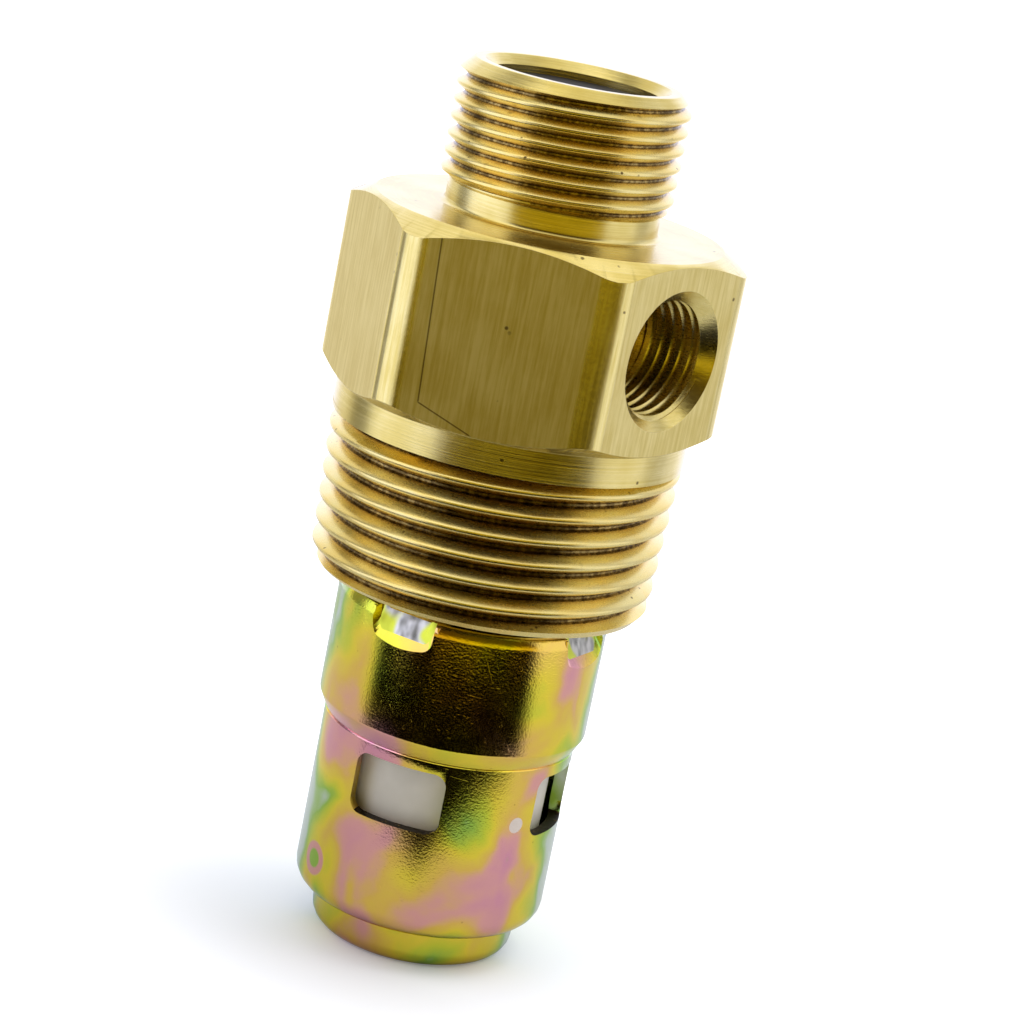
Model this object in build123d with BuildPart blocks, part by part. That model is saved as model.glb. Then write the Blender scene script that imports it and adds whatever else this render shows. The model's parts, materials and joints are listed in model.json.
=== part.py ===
from build123d import *
import os
from math import atan2, cos, radians, sin, sqrt, tan

# In-tank non-return valve of an air compressor. Millimetres, +Z up along the valve's axis.
# The origin is the centre of the cage's closed end, on which the valve stands, and +X
# points out of the side port. Compressed air enters at the top and leaves by the windows.

# Cage: a drawn steel cup, wider above its step
sheet = 0.9
foot_inset = 1.85
foot_height = 3.0
foot_bend = 1.3
heel_bend = 0.2
guide_radius = 9.8
shoulder_bend = 1.6
crease_height = 17.5
step_rise = 1.25
step_bend = 0.4
step_out = 0.65
cage_height = 28.0
rim_bevel_height = 0.8
rim_bevel_depth = 0.3

# Windows punched through the cage's guide
window_count = 4
window_first_angle = 20.0
window_width = 7.3
window_height = 4.85
window_centre = 14.1
window_corner = 1.0

# Stakes punched into the cage's rim, which hook over the body's spigot
stake_count = 4
stake_first_angle = 10.0
stake_width = 4.9
stake_length = 2.4
stake_depth = 1.1

# Brass body, from its seat up
spigot_clearance = 0.05
step_clearance = 0.1
spigot_chamfer = 0.4
seat_lip_width = 1.35
seat_lip_height = 0.4
relief_clearance = 0.15
rim_gap = 1.1
tank_thread_radius = 13.1
tank_thread_length = 11.9
tank_thread_taper = 1 / 32
lead_chamfer_length = 0.8
lead_chamfer_depth = 0.65
collar_radius = 13.45
collar_length = 2.3
hex_flats = 27.0
hex_length = 14.4
hex_corner_round = 2.4
hex_chamfer_angle = 30.0
hex_chamfer_inset = 0.35
neck_radius = 8.0
neck_length = 2.0
neck_fillet = 0.4
inlet_thread_radius = 8.73
inlet_thread_length = 7.8
inlet_chamfer = 1.0
tube_socket_radius = 6.3
tube_socket_depth = 9.0
tube_stop_width = 1.05
ferrule_cone_depth = 0.7

# Side port, tapped along +X into the middle of a flat
port_radius = 4.35
port_chamfer = 0.95
port_tapped_depth = 6.4
port_drill_radius = 2.6

# Poppet: a moulded cup, open below, that closes on the seat
poppet_gap = 0.5
poppet_lift = 4.5
poppet_stop_gap = 0.45
poppet_wall = 1.5
poppet_crown = 1.6
poppet_edge = 0.4
spring_boss_gap = 0.45
spring_boss_length = 1.0

# Return spring between the cage's foot and the poppet's crown
wire_radius = 0.45
spring_side_gap = 1.15
spring_pitch = 3.8

# Inlet plug: a moulded cap pushed down the tube socket to its stop
plug_clearance = 0.05
plug_recess = 0.5
plug_crown = 1.2
plug_wall = 1.0
plug_edge = 0.2

# Sizes and places that follow from those above
foot_radius = guide_radius - foot_inset
sleeve_radius = guide_radius + step_out
step_height = crease_height + step_rise
spigot_radius = sleeve_radius - sheet - spigot_clearance
spigot_foot = step_height + step_clearance
seat_height = spigot_foot - seat_lip_height
stake_foot = cage_height - stake_length
stake_face = sqrt(sleeve_radius**2 - (stake_width / 2) ** 2)
relief_radius = stake_face - stake_depth - sheet - relief_clearance
thread_foot = cage_height + rim_gap
collar_foot = thread_foot + tank_thread_length
hex_foot = collar_foot + collar_length
hex_top = hex_foot + hex_length
thread_start = hex_top + neck_length
body_top = thread_start + inlet_thread_length + inlet_chamfer
socket_stop = body_top - ferrule_cone_depth - tube_socket_depth
air_passage_radius = tube_socket_radius - tube_stop_width
seat_lip_radius = air_passage_radius + seat_lip_width
port_height = hex_foot + hex_length / 2
poppet_radius = guide_radius - sheet - poppet_gap
poppet_foot = foot_height + sheet + poppet_stop_gap + poppet_lift
poppet_length = seat_height - poppet_foot
spring_top = seat_height - poppet_crown
spring_radius = poppet_radius - poppet_wall - spring_side_gap - wire_radius
spring_boss_radius = spring_radius - wire_radius - spring_boss_gap
corner_stretch = 1 / cos(radians(30))
hex_corner_radius = hex_flats / 2 * corner_stretch - hex_corner_round * (corner_stretch - 1)


def cup_section(inset, top):
    """The line from the axis along the cage's wall up to top, moved inwards by inset."""
    lean = atan2(sleeve_radius - guide_radius, step_rise)
    lift = inset * tan(lean / 2)
    FilletPolyline(
        (0, inset),
        (foot_radius - inset, inset),
        (foot_radius - inset, foot_height + inset),
        (guide_radius - inset, foot_height + inset),
        (guide_radius - inset, crease_height + lift),
        (sleeve_radius - inset, step_height + lift),
        (sleeve_radius - inset, top),
        radius=[
            foot_bend - inset,
            heel_bend + inset,
            shoulder_bend - inset,
            step_bend + inset,
            step_bend,
        ],
    )


def turned(points):
    """A closed section of straight lines, spun about the valve's axis."""
    with BuildPart() as spun:
        with BuildSketch(Plane.XZ):
            with BuildLine():
                Polyline(*points, close=True)
            make_face()
        revolve(axis=Axis.Z)
    return spun.part


def upright_plane(angle):
    """The plane through the axis whose X runs outwards at angle."""
    a = radians(angle)
    return Plane(origin=(0, 0, 0), x_dir=(cos(a), sin(a), 0), z_dir=(sin(a), -cos(a), 0))


def spaced(count, first):
    """Evenly spaced angles round the axis, in degrees, from the first one."""
    return [first + 360 / count * number for number in range(count)]


# Cage
with BuildPart() as cage:
    with BuildSketch(Plane.XZ):
        with BuildLine():
            cup_section(0, cage_height)
            Line((sleeve_radius, cage_height), (0, cage_height))
            Line((0, cage_height), (0, 0))
        make_face()
    revolve(axis=Axis.Z)
    with BuildSketch(Plane.XZ):
        with BuildLine():
            cup_section(sheet, cage_height)
            Line((sleeve_radius - sheet, cage_height), (0, cage_height))
            Line((0, cage_height), (0, sheet))
        make_face()
    revolve(axis=Axis.Z, mode=Mode.SUBTRACT)
    chamfer(
        cage.edges().filter_by(GeomType.CIRCLE).group_by(Axis.Z)[-1].sort_by(SortBy.RADIUS)[-1],
        length=rim_bevel_height,
        length2=rim_bevel_depth,
    )
    for angle in spaced(window_count, window_first_angle):
        outward = upright_plane(angle).x_dir
        window_plane = Plane(origin=(0, 0, window_centre), x_dir=(-outward.Y, outward.X, 0), z_dir=outward)
        with BuildSketch(window_plane):
            RectangleRounded(window_width, window_height, window_corner)
        extrude(amount=guide_radius + sheet, mode=Mode.SUBTRACT)
    for angle in spaced(stake_count, stake_first_angle):
        with BuildSketch(upright_plane(angle)):
            with BuildLine():
                Polyline(
                    (sleeve_radius - sheet * 2, stake_foot),
                    (sleeve_radius + sheet, stake_foot),
                    (sleeve_radius + sheet, cage_height + sheet),
                    (sleeve_radius - sheet * 2, cage_height + sheet),
                    close=True,
                )
            make_face()
        extrude(amount=stake_width / 2, both=True, mode=Mode.SUBTRACT)
        with BuildSketch(upright_plane(angle)):
            with BuildLine():
                Polyline(
                    (stake_face, stake_foot),
                    (stake_face - stake_depth, cage_height),
                    (stake_face - stake_depth - sheet, cage_height),
                    (stake_face - sheet, stake_foot),
                    close=True,
                )
            make_face()
        extrude(amount=stake_width / 2, both=True)

# Brass body: bar turned round its axis, with the hexagon left between collar and neck
hex_slope = tan(radians(hex_chamfer_angle))
chamfer_start = hex_flats / 2 - hex_chamfer_inset
outer_reach = hex_corner_radius + 1
collar_top_radius = tank_thread_radius + tank_thread_length * tank_thread_taper

with BuildPart() as valve_body:
    with BuildSketch(Plane.XY.offset(hex_foot)):
        hexagon = RegularPolygon(hex_flats / 2, 6, major_radius=False, rotation=30)
        fillet(hexagon.vertices(), hex_corner_round)
    extrude(amount=hex_length)
    add(
        turned([
            (0, hex_foot),
            (collar_radius, hex_foot),
            (outer_reach, hex_foot + (outer_reach - collar_radius) * hex_slope),
            (outer_reach, hex_top - (outer_reach - chamfer_start) * hex_slope),
            (chamfer_start, hex_top),
            (0, hex_top),
        ]),
        mode=Mode.INTERSECT,
    )
    with BuildSketch(Plane.XZ):
        with BuildLine():
            Polyline(
                (0, hex_foot),
                (collar_radius, hex_foot),
                (collar_radius, collar_foot),
                (collar_top_radius, collar_foot),
                (tank_thread_radius + lead_chamfer_length * tank_thread_taper,
                 thread_foot + lead_chamfer_length),
                (tank_thread_radius - lead_chamfer_depth, thread_foot),
                (relief_radius, thread_foot),
                (relief_radius, stake_foot - relief_clearance),
                (spigot_radius, stake_foot - relief_clearance),
                (spigot_radius, spigot_foot + spigot_chamfer),
                (spigot_radius - spigot_chamfer, spigot_foot),
                (seat_lip_radius, spigot_foot),
                (seat_lip_radius - seat_lip_height / 2, seat_height),
                (0, seat_height),
                close=True,
            )
        make_face()
    revolve(axis=Axis.Z)
    with BuildSketch(Plane.XZ):
        with BuildLine():
            Polyline(
                (0, hex_top),
                (neck_radius + neck_fillet, hex_top),
                (neck_radius, hex_top + neck_fillet),
                (neck_radius, thread_start - (inlet_thread_radius - neck_radius)),
                (inlet_thread_radius, thread_start),
                (inlet_thread_radius, thread_start + inlet_thread_length),
                (inlet_thread_radius - inlet_chamfer, body_top),
                (0, body_top),
                close=True,
            )
        make_face()
    revolve(axis=Axis.Z)
    with BuildSketch(Plane.XZ):
        with BuildLine():
            Polyline(
                (0, seat_height),
                (air_passage_radius, seat_height),
                (air_passage_radius, socket_stop),
                (tube_socket_radius, socket_stop),
                (tube_socket_radius, body_top - ferrule_cone_depth),
                (tube_socket_radius + ferrule_cone_depth, body_top),
                (0, body_top),
                close=True,
            )
        make_face()
    revolve(axis=Axis.Z, mode=Mode.SUBTRACT)
    with BuildSketch(Plane(origin=(0, 0, port_height), x_dir=(0, 1, 0), z_dir=(1, 0, 0))):
        Circle(port_drill_radius)
    extrude(amount=hex_flats / 2, mode=Mode.SUBTRACT)
    with BuildSketch(Plane.XZ):
        with BuildLine():
            Polyline(
                (hex_flats / 2 - port_tapped_depth, port_height),
                (hex_flats / 2 - port_tapped_depth, port_height + port_radius),
                (hex_flats / 2 - port_chamfer, port_height + port_radius),
                (hex_flats / 2 + port_chamfer, port_height + port_radius + 2 * port_chamfer),
                (hex_flats / 2 + port_chamfer, port_height),
                close=True,
            )
        make_face()
    revolve(axis=Axis((0, 0, port_height), (1, 0, 0)), mode=Mode.SUBTRACT)

# Poppet: its crown closes on the seat, and its skirt slides in the cage's guide
with BuildPart() as poppet:
    with BuildSketch(Plane.XY.offset(poppet_foot)):
        Circle(poppet_radius)
    extrude(amount=poppet_length)
    with BuildSketch(Plane.XY.offset(poppet_foot)):
        Circle(poppet_radius - poppet_wall)
    extrude(amount=poppet_length - poppet_crown, mode=Mode.SUBTRACT)
    chamfer(poppet.edges().filter_by(GeomType.CIRCLE).group_by(Axis.Z)[-1], length=poppet_edge)
    chamfer(
        poppet.edges().filter_by(GeomType.CIRCLE).group_by(Axis.Z)[0].sort_by(SortBy.RADIUS)[-1],
        length=poppet_edge,
    )
    with BuildSketch(Plane.XY.offset(spring_top)):
        Circle(spring_boss_radius)
    extrude(amount=-spring_boss_length)

# Return spring: right-hand coils, their ends ground flat
with BuildPart() as return_spring:
    with BuildLine(Plane.XY.offset(sheet)):
        coil = Helix(pitch=spring_pitch, height=spring_top - sheet, radius=spring_radius)
    with BuildSketch(Plane(origin=coil @ 0, z_dir=coil % 0)):
        Circle(wire_radius)
    sweep(path=coil, is_frenet=True)
    with BuildSketch(Plane.XY.offset(sheet)):
        Circle(spring_radius + 2 * wire_radius)
    extrude(amount=spring_top - sheet, mode=Mode.INTERSECT)

# Inlet plug
plug_top = body_top - ferrule_cone_depth - plug_recess
with BuildPart() as inlet_plug:
    with BuildSketch(Plane.XY.offset(socket_stop)):
        Circle(tube_socket_radius - plug_clearance)
    extrude(amount=plug_top - socket_stop)
    with BuildSketch(Plane.XY.offset(socket_stop)):
        Circle(tube_socket_radius - plug_clearance - plug_wall)
    extrude(amount=plug_top - socket_stop - plug_crown, mode=Mode.SUBTRACT)
    chamfer(inlet_plug.edges().filter_by(GeomType.CIRCLE).group_by(Axis.Z)[-1], length=plug_edge)

os.makedirs("parts", exist_ok=True)
pieces = {
    "valve_body": valve_body,
    "cage": cage,
    "poppet": poppet,
    "return_spring": return_spring,
    "inlet_plug": inlet_plug,
}
for piece_name, piece in pieces.items():
    piece.part.label = piece_name
    export_step(piece.part, f"parts/{piece_name}.step")
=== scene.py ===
import json
from math import acos, atan2, cos, pi, radians, sin, sqrt, tan

import bpy
from bpy.props import FloatProperty, FloatVectorProperty, IntProperty, PointerProperty
from mathutils import Matrix, Vector


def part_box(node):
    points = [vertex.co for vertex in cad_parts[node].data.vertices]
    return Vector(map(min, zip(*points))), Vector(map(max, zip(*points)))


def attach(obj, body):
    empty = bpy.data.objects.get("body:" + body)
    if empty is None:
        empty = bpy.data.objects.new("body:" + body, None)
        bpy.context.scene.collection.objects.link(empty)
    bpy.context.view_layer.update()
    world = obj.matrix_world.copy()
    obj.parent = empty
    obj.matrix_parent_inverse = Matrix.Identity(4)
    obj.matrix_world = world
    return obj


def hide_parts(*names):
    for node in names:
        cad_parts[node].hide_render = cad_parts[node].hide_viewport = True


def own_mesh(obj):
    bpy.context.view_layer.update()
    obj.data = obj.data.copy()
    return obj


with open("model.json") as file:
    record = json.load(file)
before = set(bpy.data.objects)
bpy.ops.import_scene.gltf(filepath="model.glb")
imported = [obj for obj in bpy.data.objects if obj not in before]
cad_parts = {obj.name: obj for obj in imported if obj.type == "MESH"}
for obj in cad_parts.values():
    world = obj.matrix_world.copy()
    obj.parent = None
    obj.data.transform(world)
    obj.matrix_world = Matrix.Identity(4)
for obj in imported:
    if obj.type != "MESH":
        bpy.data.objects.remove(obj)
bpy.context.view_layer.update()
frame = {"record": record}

bl_info = {
    "name": "In-tank non-return valve",
    "version": (1, 0, 0),
    "blender": (4, 5, 0),
    "location": "View3D > Sidebar > Valve",
    "description": "Models and finishes a brass non-return valve with a plated steel cage",
    "category": "Add Mesh",
}

# Lengths are metres, and sizes are written in millimetres times MM
MM = 0.001
WELD = 0.001 * MM
MOUNTS = {mount["name"]: mount for mount in frame["record"]["mounts"]}

BODY_LOW, BODY_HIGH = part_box("valve_body")
CAGE_LOW, CAGE_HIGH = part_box("cage")
POPPET_LOW, POPPET_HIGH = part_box("poppet")
SPRING_LOW, SPRING_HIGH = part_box("return_spring")
PLUG_LOW, PLUG_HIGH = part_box("inlet_plug")

# Brass body, from its seat up
SEAT_HEIGHT = BODY_LOW.z
SPIGOT_FOOT = SEAT_HEIGHT + 0.4 * MM
SPIGOT_RADIUS = 9.5 * MM
RELIEF_FOOT = 25.5 * MM
RELIEF_RADIUS = 8.0 * MM
SEAT_LIP_RADIUS = 6.6 * MM
PASSAGE_RADIUS = 5.25 * MM
THREAD_FOOT = CAGE_HIGH.z + 1.1 * MM
TANK_FOOT_RADIUS = 13.1 * MM
TANK_TAPER = 1 / 32
COLLAR_FOOT = THREAD_FOOT + 11.9 * MM
COLLAR_RADIUS = 13.45 * MM
HEX_FOOT = COLLAR_FOOT + 2.3 * MM
HEX_TOP = HEX_FOOT + 14.4 * MM
HEX_APOTHEM = BODY_HIGH.x
HEX_CHAMFER_START = HEX_APOTHEM - 0.35 * MM
NECK_RADIUS = 8.0 * MM
NECK_TOP = HEX_TOP + 2.0 * MM
BODY_TOP = BODY_HIGH.z
SOCKET_RADIUS = 6.3 * MM
SOCKET_STOP = PLUG_LOW.z
CONE_DEPTH = 0.7 * MM

# Side port
PORT_HEIGHT = MOUNTS["side_port"]["pos_m"][2]
PORT_RADIUS = MOUNTS["side_port"]["dims"]["r_mm"] * MM
PORT_CHAMFER = 0.95 * MM
PORT_FLOOR = HEX_APOTHEM - 6.4 * MM
PORT_DRILL_RADIUS = 2.6 * MM

# Cage
SHEET = 0.9 * MM
FOOT_RADIUS = 7.95 * MM
FOOT_HEIGHT = 3.0 * MM
GUIDE_RADIUS = 9.8 * MM
CREASE_HEIGHT = 17.5 * MM
STEP_HEIGHT = 18.75 * MM
SLEEVE_RADIUS = CAGE_HIGH.x
CAGE_HEIGHT = CAGE_HIGH.z
WINDOW_CENTRE = 14.1 * MM
STAKE_FOOT = 25.6 * MM

# The camera, from the outlines in the photograph
FRONT = radians(-52.05)
CAMERA_DISTANCE = 220.28 * MM
CAMERA_HEIGHT = 94.89 * MM
CAMERA_PITCH = radians(15.225)
CAMERA_YAW = radians(-0.391)
CAMERA_ROLL = radians(11.391)
CAMERA_LENS = 105.46
SENSOR = 36.0
LAMP_PLACE = (0.18, 0.2, 0.5)


def rgb(red, green, blue):
    """A colour as painters give it, 0 to 255, turned into the linear one that nodes use."""

    def linear(value):
        value /= 255
        return value / 12.92 if value <= 0.04045 else ((value + 0.055) / 1.055) ** 2.4

    return (linear(red), linear(green), linear(blue), 1.0)


# Modelling helpers


def clear_selection():
    if bpy.context.mode != "OBJECT":
        bpy.ops.object.mode_set(mode="OBJECT")
    bpy.ops.object.select_all(action="DESELECT")


def pick(piece):
    clear_selection()
    piece.select_set(True)
    bpy.context.view_layer.objects.active = piece


def place(piece):
    """Moves the object's place, turn and scale into its mesh."""
    pick(piece)
    bpy.ops.object.transform_apply(location=True, rotation=True, scale=True)


def apply_modifier(piece, kind, **settings):
    pick(piece)
    modifier = piece.modifiers.new(kind.title(), kind)
    for name, value in settings.items():
        setattr(modifier, name, value)
    bpy.ops.object.modifier_apply(modifier=modifier.name)


def combine(piece, other, operation):
    """Joins, cuts or intersects piece with other, which is used up."""
    apply_modifier(piece, "BOOLEAN", object=other, operation=operation, solver="MANIFOLD")
    bpy.data.objects.remove(other)


def select_edges(piece, wanted):
    """Opens piece in edit mode with the edges selected whose two ends pass the test."""
    pick(piece)
    bpy.context.tool_settings.mesh_select_mode = (False, True, False)
    bpy.ops.object.mode_set(mode="EDIT")
    bpy.ops.mesh.select_all(action="DESELECT")
    bpy.ops.object.mode_set(mode="OBJECT")
    points = piece.data.vertices
    for edge in piece.data.edges:
        edge.select = wanted(*(points[index].co for index in edge.vertices))
    bpy.ops.object.mode_set(mode="EDIT")


def select_vertices(piece, wanted):
    """Opens piece in edit mode with the vertices selected that pass the test."""
    pick(piece)
    bpy.context.tool_settings.mesh_select_mode = (True, False, False)
    bpy.ops.object.mode_set(mode="EDIT")
    bpy.ops.mesh.select_all(action="DESELECT")
    bpy.ops.object.mode_set(mode="OBJECT")
    for vertex in piece.data.vertices:
        vertex.select = wanted(vertex.co)
    bpy.ops.object.mode_set(mode="EDIT")


def rounded(corners, steps=5):
    """The path through corners of (radius, height, rounding), with each rounding as an arc."""
    path = []
    for index, (across, up, rounding) in enumerate(corners):
        here = Vector((across, up))
        if not rounding:
            path.append(here)
            continue
        before = (Vector(corners[index - 1][:2]) - here).normalized()
        after = (Vector(corners[index + 1][:2]) - here).normalized()
        half = before.angle(after) / 2
        centre = here + (before + after).normalized() * rounding / sin(half)
        start = here + before * rounding / tan(half) - centre
        sweep = start.angle_signed(here + after * rounding / tan(half) - centre)
        for step in range(steps + 1):
            turn = Matrix.Rotation(-sweep * step / steps, 2)
            path.append(centre + turn @ start)
    return path


def drawn(name, path):
    """An open line in the XZ plane, drawn from point to point and left in edit mode."""
    clear_selection()
    bpy.ops.mesh.primitive_plane_add(size=MM)
    line = bpy.context.active_object
    line.name = name
    bpy.ops.object.mode_set(mode="EDIT")
    bpy.ops.mesh.select_mode(type="VERT")
    bpy.ops.mesh.select_all(action="SELECT")
    bpy.ops.mesh.merge(type="CENTER")
    bpy.ops.transform.translate(value=(path[0][0], 0, path[0][1]))
    for before, after in zip(path, path[1:]):
        step = (after[0] - before[0], 0, after[1] - before[1])
        bpy.ops.mesh.extrude_region_move(TRANSFORM_OT_translate={"value": step})
    return line


def welded():
    """Merges the doubles of the mesh in edit mode and turns its faces outwards."""
    bpy.ops.mesh.select_all(action="SELECT")
    bpy.ops.mesh.remove_doubles(threshold=WELD)
    bpy.ops.mesh.normals_make_consistent(inside=False)
    bpy.ops.object.mode_set(mode="OBJECT")


def turned(name, path, segments=192):
    """A piece turned round the Z axis from its profile."""
    piece = drawn(name, path)
    bpy.ops.mesh.select_all(action="SELECT")
    bpy.ops.mesh.spin(steps=segments, angle=2 * pi, center=(0, 0, 0), axis=(0, 0, 1))
    welded()
    return piece


def close_ends():
    """Draws each open end of the mesh in edit mode together to a point."""
    bpy.ops.mesh.select_mode(type="EDGE")
    bpy.ops.mesh.select_all(action="DESELECT")
    bpy.ops.mesh.select_non_manifold()
    bpy.ops.mesh.extrude_region_move()
    bpy.ops.mesh.merge(type="COLLAPSE")


def tooth_profile(pitch, crest, root, land, flat):
    """One pitch of a thread. land and flat are the widths of root and crest, in pitches."""
    depth = crest - root
    side = 0.5 - land / 2
    rising = [
        (root, -side * pitch), (root + 0.12 * depth, -(side - 0.07) * pitch),
        (crest - 0.10 * depth, -flat * pitch), (crest - 0.02 * depth, -flat / 2 * pitch),
    ]
    falling = [(across, -up) for across, up in reversed(rising)]
    return rising + [(crest, 0)] + falling


def threaded_rod(name, tooth, pitch, low, high, phase, segments=192):
    """A right-hand threaded rod, closed at both ends, that reaches past low and high."""
    first = low + phase - 2 * pitch
    turns = int((high - first) / pitch) + 3
    path = [(across, first + turn * pitch + up) for turn in range(turns) for across, up in tooth]
    rod = drawn(name, path)
    bpy.ops.object.mode_set(mode="OBJECT")
    apply_modifier(rod, "SCREW", steps=segments, render_steps=segments, angle=2 * pi,
                   screw_offset=pitch, iterations=1, axis="Z", use_smooth_shade=False)
    bpy.ops.object.mode_set(mode="EDIT")
    bpy.ops.mesh.select_all(action="SELECT")
    bpy.ops.mesh.remove_doubles(threshold=WELD)
    close_ends()
    welded()
    return rod


def finished(piece, body, *nodes, slot, materials, angle=28):
    """Smooths a finished piece, gives it its materials and ties it to the frame."""
    pick(piece)
    bpy.ops.object.shade_smooth_by_angle(angle=radians(angle))
    apply_modifier(piece, "WEIGHTED_NORMAL", mode="FACE_AREA", keep_sharp=True)
    piece.data.materials.clear()
    for material in materials:
        piece.data.materials.append(material)
    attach(piece, body)
    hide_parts(*nodes)


# Shader maths


class Reading:
    """A number that varies over a surface. Arithmetic on it adds Math nodes."""

    def __init__(self, finish, socket):
        self.finish = finish
        self.socket = socket

    def math(self, operation, *others):
        return self.finish.math(operation, self, *others)

    def __add__(self, other):
        return self.math("ADD", other)

    def __radd__(self, other):
        return self.math("ADD", other)

    def __sub__(self, other):
        return self.math("SUBTRACT", other)

    def __rsub__(self, other):
        return self.finish.math("SUBTRACT", other, self)

    def __mul__(self, other):
        return self.math("MULTIPLY", other)

    def __rmul__(self, other):
        return self.math("MULTIPLY", other)

    def __truediv__(self, other):
        return self.math("DIVIDE", other)


class Finish:
    """Builds one node tree, of a material or of the world."""

    def __init__(self, owner):
        owner.use_nodes = True
        self.tree = owner.node_tree
        self.tree.nodes.clear()

    def node(self, kind, settings=None, **sockets):
        """A node with its settings, then the values or links of its inputs."""
        made = self.tree.nodes.new(kind)
        for name, value in (settings or {}).items():
            setattr(made, name, value)
        for name, value in sockets.items():
            self.feed(made, name.replace("_", " "), value)
        return made

    def feed(self, node, name, value):
        socket = node.inputs[int(name)] if name.isdigit() else node.inputs[name]
        if isinstance(value, Reading):
            value = value.socket
        if isinstance(value, bpy.types.NodeSocket):
            self.tree.links.new(value, socket)
        else:
            socket.default_value = value

    def math(self, operation, *values):
        made = self.node("ShaderNodeMath", {"operation": operation})
        for index, value in enumerate(values):
            self.feed(made, str(index), value)
        return Reading(self, made.outputs[0])

    def reading(self, node, output=0):
        return Reading(self, node.outputs[output])

    def position(self):
        return self.node("ShaderNodeTexCoord").outputs["Object"]

    def split(self, vector):
        made = self.node("ShaderNodeSeparateXYZ", Vector=vector)
        return [Reading(self, made.outputs[index]) for index in range(3)]

    def join(self, across, along, up):
        made = self.node("ShaderNodeCombineXYZ")
        for index, value in enumerate((across, along, up)):
            self.feed(made, str(index), value)
        return made.outputs[0]

    def stretched(self, vector, scale):
        return self.node("ShaderNodeMapping", Vector=vector, Scale=scale).outputs[0]

    def noise(self, vector, scale, detail=2.0, roughness=0.5, distortion=0.0):
        made = self.node("ShaderNodeTexNoise", Vector=vector, Scale=scale, Detail=detail,
                         Roughness=roughness, Distortion=distortion)
        return Reading(self, made.outputs["Fac"])

    def spots(self, vector, scale):
        """The distance from the nearest of many scattered points."""
        made = self.node("ShaderNodeTexVoronoi", Vector=vector, Scale=scale)
        return Reading(self, made.outputs["Distance"])

    def scratches(self, vector, direction):
        """Short fine lines along one direction."""
        along_lines = self.node("ShaderNodeMapping", Vector=vector, Rotation=direction).outputs[0]
        return self.ease(self.noise(self.stretched(along_lines, (11000, 160, 11000)), 1.0, detail=1.0), 0.74, 0.78)

    def ease(self, value, start, end, low=0.0, high=1.0):
        """low up to start, high from end, and a smooth change between."""
        made = self.node("ShaderNodeMapRange", {"interpolation_type": "SMOOTHSTEP"}, Value=value)
        for name, number in zip(("From Min", "From Max", "To Min", "To Max"), (start, end, low, high)):
            self.feed(made, name, number)
        return Reading(self, made.outputs[0])

    def near(self, position, bearing, height, reach, radius=GUIDE_RADIUS):
        """1 at a place on the cage, bearing degrees right of the front, down to 0 at reach millimetres."""
        angle = FRONT + radians(bearing)
        centre = (cos(angle) * radius, sin(angle) * radius, height * MM)
        apart = self.node("ShaderNodeVectorMath", {"operation": "DISTANCE"})
        self.feed(apart, "0", position)
        self.feed(apart, "1", centre)
        return self.ease(Reading(self, apart.outputs["Value"]), 0.0, reach * MM, 1.0, 0.0)

    def scratch_on_flat(self, position):
        """1 along the hairline scratch that runs down the flat beside the port's and then across it."""
        facing = radians(-60)
        across, along, up = (reading * (1 / MM) for reading in self.split(position))
        outwards = across * cos(facing) + along * sin(facing)
        sideways = along * cos(facing) - across * sin(facing)
        off_upright = self.math("ABSOLUTE", sideways + 5.35 - (56.8 - up) * 0.04)
        upright = self.ease(off_upright, 0.03, 0.08, 1.0, 0.0) * self.ease(up, 44.9, 45.1)
        off_slanted = self.math("ABSOLUTE", up - 45.0 + (sideways + 4.93) * 0.38)
        slanted = self.ease(off_slanted, 0.03, 0.08, 1.0, 0.0) * self.ease(sideways, -5.0, -4.8)
        slanted = slanted * self.ease(sideways, -0.9, -0.6, 1.0, 0.0)
        return self.math("MAXIMUM", upright, slanted) * self.ease(outwards, 13.2, 13.4)

    def ramp(self, value, stops):
        made = self.node("ShaderNodeValToRGB", Fac=value)
        line = made.color_ramp.elements
        while len(line) < len(stops):
            line.new(1.0)
        for element, (place_on_ramp, colour) in zip(line, stops):
            element.position = place_on_ramp
            element.color = colour
        return made.outputs["Color"]

    def mix(self, factor, first, second, blend="MIX"):
        made = self.node("ShaderNodeMix", {"data_type": "RGBA", "blend_type": blend})
        for name, value in (("0", factor), ("6", first), ("7", second)):
            self.feed(made, name, value)
        return made.outputs[2]

    def bump(self, height, strength, distance):
        return self.node("ShaderNodeBump", Height=height, Strength=strength, Distance=distance).outputs[0]

    def surface(self, colour, roughness, metallic, normal=None, **constants):
        shader = self.node("ShaderNodeBsdfPrincipled")
        self.feed(shader, "Base Color", colour)
        self.feed(shader, "Roughness", roughness)
        self.feed(shader, "Metallic", metallic)
        if normal is not None:
            self.feed(shader, "Normal", normal)
        for name, value in constants.items():
            self.feed(shader, name.replace("_", " "), value)
        output = self.node("ShaderNodeOutputMaterial")
        self.tree.links.new(shader.outputs[0], output.inputs["Surface"])


# Finishes


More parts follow.
